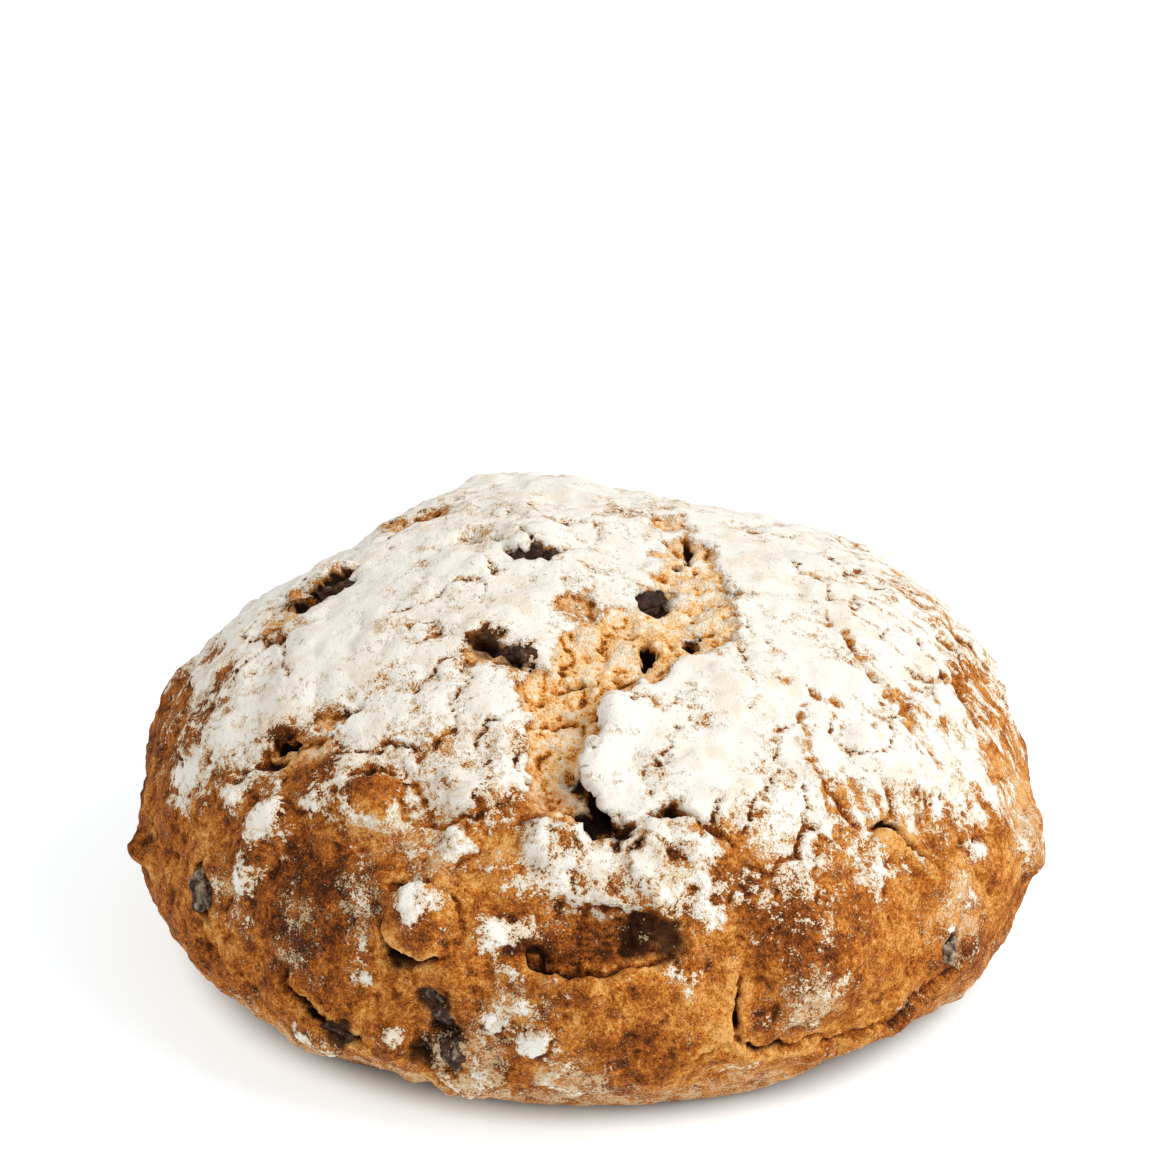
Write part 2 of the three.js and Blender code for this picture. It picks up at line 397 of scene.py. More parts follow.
def tearShape(places, normals, piece):
    # how torn each point is, how far the floor lies under the crust, where the lip stands up,
    # and the lip's bare wall
    gap, along, side = nearRoute(places, normals, piece, crust["tearLip"])
    ease = np.interp(along, *crust["lipEase"])
    left = np.where(gap < 25, ramp(side, -0.5 * ease, ease), 1)
    torn = np.zeros(len(places))
    drop = np.zeros(len(places))
    for x, y, z, radius, deep in crust["tearFloor"]:
        inside = insideBlobs(places, piece, [(x, y, z, radius)])
        torn = np.maximum(torn, ramp(inside, -1, 2.5))
        drop = np.maximum(drop, deep * ramp(inside, -1, 5))
    reach = crust["slabReach"]
    slab = ramp(reach - gap, 0, reach) * ramp(-side, -0.6, 1.2) * ramp(along, 0.3, 0.55)
    wall = torn * ramp(3 - gap, 0, 2) * ramp(side, -2.4, -0.6) * ramp(along, 0.35, 0.5)
    return torn * left, drop * left, slab, wall


def sculptDough(piece):
    points = pointsOf(piece)
    normals = normalsOf(piece)
    places = strayed(points, 8, 2.2, normals)
    drop, slab = tearShape(places, normals, piece)[1:3]
    move = crust["lipRise"] * slab - drop
    move -= crust["smallTearDepth"] * ramp(insideBlobs(places, piece, crust["smallTears"]), 0, 4)
    move += domeSum(places, piece, crust["domes"])
    move += patchSum(places, piece, crust["hollows"])
    size, height = crust["waves"]
    move += height * noiseAt(points, size, 2, 5.0)
    size, height = crust["billows"]
    move += height * (ridgesAt(places, size, 2, 2.0) - 0.35)
    onSide = ramp(points[:, 2], 0.5, 6)  # the sole stays flat
    points += normals * (move * onSide)[:, None]
    points[:, 2] = np.maximum(points[:, 2], 0)
    movePoints(piece, points)


def cutHoles(piece):
    onlySelect(piece)
    bpy.ops.mesh.primitive_ico_sphere_add(subdivisions=2, radius=mm)
    ball = bpy.context.active_object
    balls = []
    for x, y, z, radius, deep, lean in crust["holes"] + raisinSockets():
        middle, normal = onSurface(piece, (x, y, z))
        inward = Vector(lean).normalized()
        for share, width in ((0, 1), (0.5, 0.85), (1, 0.5)):  # three balls, smaller further in
            copy = bpy.data.objects.new("hollow", ball.data.copy())
            scene.collection.objects.link(copy)
            place = middle + inward * (share * deep)
            size = Matrix.Scale(radius * width, 4)
            copy.data.transform(Matrix.Translation(place * mm) @ size)
            balls.append(copy)
    bpy.data.objects.remove(ball)
    bpy.ops.object.select_all(action="DESELECT")
    for copy in balls:
        copy.select_set(True)
    cutter = balls[0]
    bpy.context.view_layer.objects.active = cutter
    bpy.ops.object.join()
    applyModifier(cutter, "REMESH", mode="VOXEL", voxel_size=0.5 * mm)
    movePoints(cutter, strayed(pointsOf(cutter), 3.2, 1.2))  # a torn edge, not a drilled one
    applyModifier(piece, "BOOLEAN", object=cutter, operation="DIFFERENCE", solver="MANIFOLD")
    bpy.data.objects.remove(cutter)


def crackShape(points, normals, piece):
    # how far the cracks move the surface, how much painted shade each point gets in one, and how near
    # it is
    places = strayed(points, 4, 0.9, normals)
    move = np.zeros(len(points))
    shade = np.zeros(len(points))
    near = np.zeros(len(points))
    for rise, widths, depths, route in crust["cracks"]:
        gap, along, side = nearRoute(places, normals, piece, route)
        width = np.interp(along, (0, 0.5, 1), widths)
        deep = np.interp(along, (0, 0.5, 1), depths)
        ends = ramp(along, 0, 0.12) * ramp(1 - along, 0, 0.12)
        groove = np.sqrt(np.clip(1 - (gap / width) ** 2, 0, 1))
        raised = ramp(side * np.sign(rise), -0.3, 0.9) * ramp(9 - gap, 0, 9)
        move += abs(rise) * ends * raised - ends * deep * groove
        shade = np.maximum(shade, ends * ramp(deep * groove, 0.4, 2.4))
        near = np.maximum(near, ends * ramp(deep, 0.2, 2.5) * ramp(5 - gap, 0, 4.5))
    return move, shade, near


# Raisins baked into the crust: place, the way each one lies, its long, wide and thick size,
# how far its middle stands above the crust, how floured it is, and the gap round it, or 0
# where the dough holds it tight.
raisin = {
    "crumple": (5, 1.6),  # size across and depth of each pattern
    "wrinkles": (3.2, 1.2),
    "fineWrinkles": (1.5, 0.8),
    "socketDepth": 2,
    "fruits": [
        ((-80, -53, 38), (0.1, -0.3, -1), (9, 5, 5), -1.3, 0.6, 0.4),
        ((-58, 2, 82), (1, 0, 0.5), (12, 5, 5), -2.3, 0.3, 0),
        ((-12, -4, 92), (1, 0.3, 0), (11, 6, 6), -2.0, 0.4, 0),
        ((14, -14, 88), (0.6, 1, 0), (10, 7, 6), -3.8, 0.15, 0),
        ((-15, -36, 84), (1, -0.5, 0), (9, 4.5, 5), -2.2, 0.3, 0),
        ((-31, -88, 30), (0.5, 0, -1), (11, 6, 6), -3.0, 0.45, 0),
        ((-28, -88, 20), (0.7, 0, -0.7), (9, 6, 5), -2.6, 0.5, 0),
        ((74, -62, 30), (0.3, 0.3, 1), (6, 4, 4), -1.0, 0.62, 0.2),
        ((-50, -80, 21), (1, -0.3, -0.2), (8, 3.5, 4), -1.3, 0.3, 0),
        ((40, 70, 53), (1, 0, 0.3), (12, 8, 7), -2.3, 0.6, 0.3),
        ((-30, 81, 48), (1, 0, -0.5), (13, 8, 7), -2.7, 0.55, 0),
        ((5, 76, 62), (1, 0, 0), (12, 8, 7), -2.6, 0.7, 0),
        ((-86, 34, 38), (0, 0.5, -1), (11, 8, 7), -1.8, 0.4, 0.3),
        ((90, 28, 33), (0, 1, 0.3), (12, 7, 7), -2.2, 0.4, 0),
        ((60, 69, 20), (1, 0, 0.4), (10, 7, 6), -1.7, 0.3, 0),
        ((-66, 62, 16), (1, 0.4, 0), (10, 7, 6), -1.7, 0.3, 0),
    ],
}


def modelRaisin():
    # a plain long berry, that each copy is sized and wrinkled from
    bpy.ops.object.select_all(action="DESELECT")
    bpy.ops.mesh.primitive_ico_sphere_add(subdivisions=5, radius=5 * mm)
    piece = bpy.context.active_object
    bpy.ops.object.mode_set(mode="EDIT")
    bpy.ops.mesh.select_all(action="SELECT")
    bpy.ops.transform.resize(value=(1.3, 0.9, 0.75))
    bpy.ops.object.mode_set(mode="OBJECT")
    return piece


def placeRaisins(dough, model):
    placed = []
    for number, fruit in enumerate(raisin["fruits"], 1):
        place, lie, sizes, stand, floured = fruit[:5]
        piece = bpy.data.objects.new(f"raisin_{number}", model.data.copy())
        scene.collection.objects.link(piece)
        low, high = (np.array(corner) / mm for corner in (model.bound_box[0], model.bound_box[6]))
        points = pointsOf(piece) * np.array(sizes) / (high - low)
        movePoints(piece, strayed(points, *raisin["crumple"], shift=number))
        points = pointsOf(piece)
        # the wrinkles run lengthwise
        size, depth = raisin["wrinkles"]
        folds = 0.4 - ridgesAt(points * (0.4, 1, 1), size, 1, number)
        fineSize, fineDepth = raisin["fineWrinkles"]
        fine = 0.4 - ridgesAt(points * (0.5, 1, 1), fineSize, 2, number + 0.5)
        move = depth * folds + fineDepth * fine
        movePoints(piece, points + normalsOf(piece) * move[:, None])
        storeField(piece, "floured", floured + 0.5 * folds)
        surface, normal = onSurface(dough, place)
        along = Vector(lie)
        along = (along - normal * along.dot(normal)).normalized()
        turned = Matrix((along, normal.cross(along), normal)).transposed().to_4x4()
        middle = surface + normal * stand
        piece.data.transform(Matrix.Translation(middle * mm) @ turned)
        onlySelect(piece)
        bpy.ops.object.shade_smooth()
        placed.append(piece)
    return placed


def raisinSockets():
    # a raisin that shrank in the oven sits in a hollow a little larger than itself
    sockets = []
    for place, lie, (length, width, thick), stand, floured, slack in raisin["fruits"]:
        if slack:
            along = Vector(lie).normalized()
            inward = -Vector((place[0], place[1], 0)).normalized()
            for share in (-0.3, 0, 0.3):
                spot = Vector(place) + along * (share * length)
                sockets.append((*spot, width / 2 + slack, raisin["socketDepth"], inward))
    return sockets


# Flour on the crust. The line is the height above which flour lies thick, by azimuth in
# degrees. Clumps, bare and dusty places end in a radius, and thin ones in a reach and an
# amount. Amounts are of powder: above 0 it mostly covers, and below about -6 none is left.
flour = {
    "thickness": 0.7,
    "slope": 0.5,  # powder gained for each mm above the line
    "most": 6.5,
    "scraped": 6,  # powder lost along a scrape
    "crumb": (-9.0, 6.0),  # on the low end of the tear, and how much more on its high end
    "leastDust": -0.8,
    "mostDust": 2.6,
    "footDust": (4.5, 0.25),  # dust at the sole, and how much less for each mm up
    "line": {
        0: 43, 25: 46, 50: 40, 75: 52, 100: 44, 130: 40, 160: 50, 180: 56, 192: 55, 204: 50,
        216: 62, 235: 63, 250: 63, 260: 58, 268: 53, 280: 52, 293: 53, 307: 50, 314: 54,
        321: 52, 332: 48, 345: 43,
    },
    "clumps": [
        (-65, -58, 57, 5.5), (-73, -48, 57, 3.5), (-70, -61, 46, 4.5), (-48, -65, 62, 2.6),
        (-24, -67, 68, 6), (-26, -75, 61, 3), (-33, -82, 53, 5), (-5, -76, 62, 6), (4, -85, 52, 4),
        (13, -81, 56, 3.5), (24, -82, 51, 4), (18, -89, 41, 3), (-5, -92, 38, 1.6),
        (-15, -92, 34, 2.6), (-10, -94, 27, 4.5), (-17, -90, 40, 1.8), (-18, -86, 47, 4),
        (-20, -92, 29, 3.5), (-40, -85, 23, 2.8), (-56, -75, 17, 2.4), (-51, -79, 16, 1.8),
        (-24, -86, 12, 2.0), (-45, -80, 41, 2.0), (-46, -82, 36, 1.6), (45, -84, 34, 1.8),
        (46, -83, 32, 1.4), (75, -23, 65, 6), (67, -46, 60, 6), (71, -45, 56, 4.5),
        (80, -46, 44, 4), (58, -67, 50, 4), (-84, -30, 52, 7), (60, 58, 40, 6), (-70, 50, 35, 6),
        (10, 86, 34, 6),
    ],
    "bare": [
        (-57, -54, 67, 7), (-43, -65, 65, 6.5), (-19, -75, 62, 4), (-13, -70, 66, 3.5),
        (-63, -46, 67, 4.5), (-51, -72, 51, 6), (11, -87, 49, 6.5), (-4, -88, 45, 7),
        (16, -87, 46, 4), (72, -52, 48, 5.5), (64, -56, 53, 2.5), (-83, 2, 65, 2.6),
        (-79, -14, 67, 3.5), (-89, -8, 57, 5), (-79, -49, 49, 4), (88, -4, 56, 4), (87, -23, 52, 5),
        (79, -44, 48, 3),
    ],
    "thin": [
        (84, -4, 58, 16, 7), (66, -32, 66, 10, 3), (72, 15, 72, 14, 2.5), (88, -20, 48, 10, 3),
        (56, -22, 76, 6, 2.5), (50, -58, 62, 7, 3), (10, 22, 90, 8, 4), (2, -12, 89, 7, 3),
        (-45, -10, 86, 8, 1.5), (-38, -17, 86, 7, 1.5), (-80, -20, 64, 12, 3.6),
        (-74, -30, 66, 8, 2), (-22, -71, 65, 4, 3.5), (-60, 8, 81, 6, 2.5), (-12, 2, 92, 6, 4),
        (-22, -31, 86, 5, 2.5), (-32, 30, 88, 9, 3.5), (-69, -3, 75, 7, 4.5), (-62, -13, 78, 5, 3),
        (-38, -40, 80, 8, 2.5), (-30, -52, 75, 7, 3), (-55, -44, 73, 5, 2.5), (14, -62, 72, 5, 3),
        (16, -70, 66, 4, 3), (29, -67, 65, 5, 3), (26, -72, 61, 5, 3), (40, -62, 66, 8, 1.5),
        (-14, -55, 76, 6, 3), (-42, 28, 86, 6, 4), (8, -57, 75, 3, 2.5), (5, -64, 70, 2.5, 3.5),
        (9, -71, 65, 3, 3), (17, -60, 73, 4, 2), (24, -51, 77, 4, 2), (31, -58, 71, 4, 2),
        (20, 60, 75, 16, 3), (-55, 45, 65, 14, 3),
    ],
    "scrapes": [  # thin bare lines, where something brushed the flour off
        [(50, -12, 80), (55, -20, 77), (60, -27, 73), (65, -31, 68), (67, -38, 64)],
        [(43, -44, 74), (44, -51, 70), (47, -57, 65), (50, -62, 59)],
        [(60, 35, 77), (70, 25, 75), (77, 16, 70), (80, 8, 68)],
        [(40, -36, 79), (50, -38, 74), (58, -40, 70)],
    ],
    "dusty": [  # a fine dust of flour clings here
        (42, -84, 32, 12), (-45, -76, 48, 9), (-58, -70, 42, 7.5), (-60, -74, 33, 8),
        (-76, -58, 42, 8), (-38, -73, 61, 9), (-30, -78, 58, 8), (-72, -62, 36, 6),
        (-14, -91, 36, 9), (-24, -90, 18, 13), (-22, -86, 11, 12), (-54, -77, 17, 9),
        (-2, -92, 17, 13), (30, -90, 12, 9), (76, -58, 34, 13), (93, -26, 38, 15), (66, -70, 22, 6),
        (-6, -86, 50, 6), (60, 64, 34, 12), (-50, 76, 30, 14), (-92, 20, 34, 10),
    ],
}
# Browning, from 0 for pale to 1 for dark, with the shadows as painted shade. Spots end in a
# reach and an amount, shadows and stains in a radius.
bakeAndShade = {
    "middle": 0.52,
    "edges": -0.35,  # the dough beside a crack opened late, and is paler
    "spots": [  # darker and paler baking
        (-58, -66, 51, 7, 0.3), (-50, -72, 50, 6, 0.3), (-58, -74, 40, 10, 0.2),
        (-68, -68, 26, 8, -0.08), (-44, -60, 68, 3, 0.25), (-44, -66, 63, 7, -0.3),
        (-92, -25, 40, 10, 0.05), (-12, -87, 45, 4, 0.35), (-3, -88, 45, 6, 0.4),
        (6, -88, 45, 4, 0.35), (-6, -56, 74, 9, 0.03), (3, -44, 80, 5, 0.12),
        (14, -30, 85, 6, 0.12), (40, -81, 45, 9, 0.22), (35, -86, 30, 5, 0.15),
        (10, -94, 26, 8, 0.15), (-16, -92, 22, 7, 0.1), (70, -56, 46, 6, 0.3),
        (63, -72, 32, 9, -0.14), (80, -54, 36, 9, -0.05), (22, -90, 33, 10, -0.28),
        (5, -93, 35, 9, -0.12), (36, -86, 17, 9, -0.25), (56, -76, 17, 10, -0.18),
        (16, -87, 46, 4, -0.25), (89, -36, 38, 12, -0.15), (92, -15, 45, 16, -0.1),
        (-20, -76, 58, 7, -0.25), (-28, -88, 38, 6, -0.25), (-42, -84, 27, 6, -0.22),
        (-79, -49, 49, 7, -0.25), (-56, -49, 69, 4, -0.3), (-22, -90, 44, 4, -0.1),
        (-96, -20, 40, 9, -0.15),
    ],
    "shadows": [  # painted shade: dark ragged hollows beside the tear and round the burst fruit, pressed in a little too
        (3, -50, 77, 1.6), (2, -55, 75, 1.8), (0, -60, 72, 2.2), (-3, -64, 69, 3.0),
        (-3, -68, 66, 3.6), (0, -71, 64, 3.6), (5, -74, 62, 3.0), (9, -76, 61, 1.8),
        (17, -71, 66, 2.2), (14, -71, 66, 1.6), (13, -15, 88, 3.2), (17, -11, 89, 2.2),
        (12, -34, 84, 1.6), (21, -29, 85, 2.0), (23, -25, 85, 1.6), (29, -27, 84, 1.4),
        (-62, 0, 79, 1.8), (-56, 1, 82, 1.6), (-12, -5, 91, 2.0), (-21, -34, 85, 1.4),
        (-15, -38, 84, 1.8), (-65, -47, 66, 2.2), (-62, -45, 68, 1.8), (-56, -48, 70, 1.2),
        (-50, -45, 74, 1.8), (-47, -44, 75, 1.2), (-9, -88, 43, 2.4), (-4, -90, 42, 1.8),
        (-39, -83, 41, 2.4), (-33, -88, 32, 2.0), (-30, -88, 26, 3.0), (-33, -87, 20, 2.2),
        (-27, -88, 16, 1.6), (-43, -60, 69, 1.2),
    ],
    "stains": [  # where fruit lies close under the crust
        (10, -88, 50, 5), (9, -88, 46, 4), (14, -87, 47, 4.5), (-31, -88, 31, 4),
        (-29, -89, 25, 4.5), (-33, -88, 20, 4), (-21, -33, 85, 4), (-14, -37, 84, 4),
        (14, -14, 88, 4), (-50, -80, 21, 3.5), (74, -62, 30, 2.5), (-38, -84, 40, 3),
        (-81, -54, 36, 4), (40, 70, 53, 6), (-30, 81, 48, 6), (5, 76, 62, 5),
    ],
}


def smoothedPoints(piece, points, passes):
    edges = np.empty(len(piece.data.edges) * 2, np.int32)
    piece.data.edges.foreach_get("vertices", edges)
    start, end = edges.reshape(-1, 2).T
    count = np.bincount(start, minlength=len(points)) + np.bincount(end, minlength=len(points))
    for _ in range(passes):
        total = np.stack(
            [
                np.bincount(start, points[end, axis], len(points))
                + np.bincount(end, points[start, axis], len(points))
                for axis in range(3)
            ],
            axis=1,
        )
        points = 0.5 * points + 0.5 * total / count[:, None]
    return points


def depthBelow(points, tree):
    # how far under the uncut dough each point is
    depth = np.zeros(len(points))
    for i, place in enumerate((points * mm).tolist()):
        nearest, normal, face, gap = tree.find_nearest(place)
        depth[i] = -gap if (Vector(place) - nearest).dot(normal) > 0 else gap
    return depth / mm


def paintDough(piece):
    # stores what lies where on the crust, for its relief and its colours
    points = pointsOf(piece)
    normals = normalsOf(piece)
    tornPlaces = strayed(strayed(points, 8, 2.2, normals), 4, 1.8, normals, 5.0)
    torn, drop, slab, wall = tearShape(tornPlaces, normals, piece)
    ragged = strayed(points, 5, 2.4)
    small = ramp(insideBlobs(ragged, piece, crust["smallTears"]), -1, 2)
    moved, shade, near = crackShape(points, normals, piece)
    wide = smoothedPoints(piece, points, crust["widePasses"])
    hollow = ((wide - points) * normals).sum(axis=1)  # mm, negative on a knob
    # the depth in the cut holes and the shadow blobs both carry painted shade
    depth = depthBelow(points, uncutDough)
    shadow = ramp(insideBlobs(strayed(points, 4, 1.8), piece, bakeAndShade["shadows"]), -1.2, 1.6)
    fruit = ramp(insideBlobs(ragged, piece, bakeAndShade["stains"]), -1, 1.5)
    # thin cracks in the cake of flour, here and there
    veins = ramp(ridgesAt(strayed(points, 4, 1.5), 13, 1, 7.7), 0.1, 0)
    veins *= ramp(noiseAt(points, 20, 2, 2.9), -0.3, 0.3)

    # flour: thick above its line, then clumps, bare places, the crumb, cracks and hollows
    azimuth = np.degrees(np.arctan2(ragged[:, 1], ragged[:, 0])) % 360
    turns = list(flour["line"]) + [360]
    line = np.interp(azimuth, turns, list(flour["line"].values()) + [flour["line"][0]])
    powder = np.minimum((ragged[:, 2] - line) * flour["slope"], flour["most"])
    powder -= patchSum(points, piece, flour["thin"])
    dusty = insideBlobs(points, piece, flour["dusty"])
    powder = np.maximum(powder, np.minimum(0.5 * dusty - 4.5, -1.2))
    powder = np.maximum(powder, 1.5 * insideBlobs(ragged, piece, flour["clumps"]))
    powder = np.minimum(powder, -1.3 * insideBlobs(ragged, piece, flour["bare"]))
    scraped = np.zeros(len(points))
    for route in flour["scrapes"]:
        gap = nearRoute(ragged, normals, piece, route)[0]
        powder -= flour["scraped"] * ramp(gap, 2.0, 0.4)
        scraped = np.maximum(scraped, ramp(gap, 3.0, 1.0))
    powder += 0.6 * slab - 4.5 * veins
    low, more = flour["crumb"]
    crumbPowder = low + more * ramp(points[:, 1], -48, -26) + 4.5 * noiseAt(points, 9, 2, 3.7)
    powder += torn * (crumbPowder - powder) + 0.7 * (1 - torn) * small * (-1.5 - powder)
    # no flour on the bare wall, nor where shade is painted: in cracks, hollows, holes and shadow blobs
    powder -= 8 * wall + 9 * shade + 1.0 * near + 4 * ramp(hollow, 0.8, 2.4)
    powder -= 8 * ramp(depth, 1.2, 2.6) + 7 * shadow + 3 * fruit

    # dust: near the flour, in the dusty places and round the foot, and none in the painted shade of
    # cracks and holes
    dust = np.maximum(0.45 * powder - 0.3, 0.4 * dusty - 0.8)
    atFoot, less = flour["footDust"]
    dust = np.minimum(np.maximum(dust, atFoot - less * points[:, 2]), flour["mostDust"])
    dust = np.maximum(dust, flour["leastDust"]) - 1.5 * near - 4 * shade
    dust -= 3 * ramp(depth, 1.2, 2.6)

    # crumb pores of two sizes, in patches
    swirled = strayed(points, 3, 1.3)
    opened = torn > 0.1
    pores = np.maximum(poresAt(swirled, 3.6, opened), 0.7 * poresAt(swirled, 1.9, opened, 4.4))
    pores *= ramp(noiseAt(points, 7, 2, 8.8), -0.5, 0.2)

    # browning: knobs are darker, and hollows, cracks and the streaky flank paler
    spots = patchSum(points, piece, bakeAndShade["spots"])
    brown = bakeAndShade["middle"] - 0.2 * np.clip(hollow, -1.2, 1.5) + bakeAndShade["edges"] * near
    # the crust is a little darker towards the left
    brown += 0.05 * ramp(-points[:, 0], 30, 70)
    streaky = ramp(points[:, 0], 35, 65) * ramp(points[:, 2], 25, 45)
    brown += 0.14 * noiseAt(points, 18, 2, 6.1) + spots - 0.15 * streaky
    brown -= 0.25 * scraped
    # painted shade: the torn crumb is darker where it lies deeper, in its pores and in its hollows
    crumb = 0.1 + 0.04 * drop + 0.35 * pores + 0.2 * np.clip(hollow, -0.6, 1.5)
    crumb += spots + 0.16 * noiseAt(points, 8, 3, 1.9)
    brown += torn * (crumb - brown)

    storeField(piece, "flour", powder)
    storeField(piece, "dust", dust)
    storeField(piece, "torn", np.maximum(torn, 0.6 * small))
    storeField(piece, "bakeAndShade", brown)
    # painted shade: holes, cracks and shadow blobs go dark
    dark = np.maximum(ramp(depth, 1.4, 3.8), shade)
    storeField(piece, "dark", np.maximum(dark, 0.85 * shadow))
    storeField(piece, "fruit", fruit)
    storeField(piece, "pores", pores)
    storeField(piece, "cracks", moved - 1.8 * shadow - 0.5 * veins)
    storeField(piece, "streaky", streaky)


relief = {  # size across and height of each pattern, mm
    "swells": (11, 0.7),
    "bumps": (4.5, 0.5),
    "creases": (6, 0.6),
    "folds": (13, 1.2),  # long folds across the left of the front
    "cakeLumps": (5, 0.6),  # these two are shares of the flour's thickness
    "cakeRidges": (7, 0.9),
    "crumb": (4.5, 1.8),
    "poreDepth": 1.3,
    "fruit": (3, 1.6),
}


def swells(name, points, octaves, shift):
    size, height = relief[name]
    return height * noiseAt(points, size, octaves, shift)


def creases(name, points, octaves, shift, level):
    # the level is taken off, and where it is above 0 the ridges reach inward too
    size, height = relief[name]
    return height * (ridgesAt(points, size, octaves, shift) - level)


def roughenDough(piece):
    points = pointsOf(piece)
    normals = normalsOf(piece)
    torn, powder, fruit = fieldOf(piece, "torn"), fieldOf(piece, "flour"), fieldOf(piece, "fruit")
    onSide = ramp(points[:, 2], 0.3, 5)
    bare = (1 - torn) * (1 - 0.6 * ramp(powder, 0, 3))
    move = fieldOf(piece, "cracks") + swells("swells", points, 2, 1.5)
    move += bare * (swells("bumps", points, 3, 4.4) + creases("creases", points, 2, 3.3, 0.4))
    folds = creases("folds", strayed(points, 9, 3) * (1, 1, 0.7), 3, 2.1, 0.4)
    move += bare * folds * ramp(20 - points[:, 0], 0, 40)
    cake = ramp(powder + 2.2 * noiseAt(points, 5, 3, 9.2), -0.5, 3)
    lumps = 0.6 + swells("cakeLumps", points, 3, 2.2) + creases("cakeRidges", points, 3, 6.6, 0)
    move += flour["thickness"] * cake * lumps
    crumb = creases("crumb", points, 3, 8.3, 0.4)
    move += torn * (crumb - relief["poreDepth"] * fieldOf(piece, "pores"))
    move += fruit * (1 - torn) * creases("fruit", points, 2, 5.8, 0.5)
    points += normals * (move * onSide)[:, None]
    points[:, 2] = np.maximum(points[:, 2], 0)
    movePoints(piece, points)


def thinDough(piece):
    triangles = sum(len(face.vertices) - 2 for face in piece.data.polygons)
    share = crust["triangles"] / triangles
    if share < 1:
        applyModifier(piece, "DECIMATE", ratio=share, use_collapse_triangulate=True)
    print("loaf: crust has", triangles, "triangles, thinned to", len(piece.data.polygons))


def shadeCreases(piece):
    # the small creases of the finished relief get painted shade, as a browner tone, and hold less flour
    points = pointsOf(piece)
    smoothed = smoothedPoints(piece, points, crust["finePasses"])
    hollow = ((smoothed - points) * normalsOf(piece)).sum(axis=1)
    storeField(piece, "browned", fieldOf(piece, "bakeAndShade") + 0.45 * ramp(hollow, 0.06, 0.5))
    storeField(piece, "powder", fieldOf(piece, "flour") - 3 * ramp(hollow, 0.1, 0.5))


crustPiece = startDough()
sculptDough(crustPiece)
uncutDough = BVHTree.FromObject(crustPiece, bpy.context.evaluated_depsgraph_get())
print("loaf: dough sculpted")
raisinModel = modelRaisin()
raisinPieces = placeRaisins(crustPiece, raisinModel)
bpy.data.objects.remove(raisinModel)
print("loaf: raisins placed")
cutHoles(crustPiece)
applyModifier(crustPiece, "REMESH", mode="VOXEL", voxel_size=crust["grain"] * mm)
print("loaf: hollows cut")
paintDough(crustPiece)
print("loaf: crust painted")
roughenDough(crustPiece)
thinDough(crustPiece)
shadeCreases(crustPiece)
onlySelect(crustPiece)
bpy.ops.object.shade_smooth()
print("loaf: crust roughened")


# Wheat crust baked brown: matt, orange-brown, with a fine grain. Flour lies on it as a white
# powder cake, and the torn crumb is pale and open. Shade is painted dark into its cracks, holes
# and small creases.
crustLook = {
    # mm across, and detail
    "patterns": {"grain": (0.42, 1), "fleck": (1.2, 2), "patch": (4.5, 3), "blotch": (13, 2)},
    "crust": [
        (0.08, "#ECB066"), (0.3, "#D28839"), (0.52, "#B0611F"), (0.74, "#814317"), (1.0, "#45220C"),
    ],
    "crumb": [
        (0.0, "#FFF4E2"), (0.2, "#FDE3BE"), (0.45, "#FFC981"), (0.7, "#D6852E"), (0.98, "#6E3A16"),
    ],
    "fruit": ("#180A04", "#4C2511"),
    # painted shade in cracks and holes
    "crack": "#211008",
    "dust": "#E9C89B",
    "flour": ("#F3D6AC", "#F4EEE4"),  # where it is thin and where it is thick
    "veil": "#E3C7A0",  # faint tan marks in the flour
    # the sums of powder and patterns at which each begins, and at which it is full
    "dustEdge": (14.6, 17.4),
    "flourEdge": (24.6, 26.0),
    "flourThick": (25.0, 29.5),
    "streakSize": 3,  # mm across
    "streaks": 22,  # how much powder they add or take
    "grit": (0.4, 0.9),  # heights in mm of the grain and the flecks on bare crust
    "powderStep": (0.1, 0.25),  # how far thin and thick powder stand over it
}


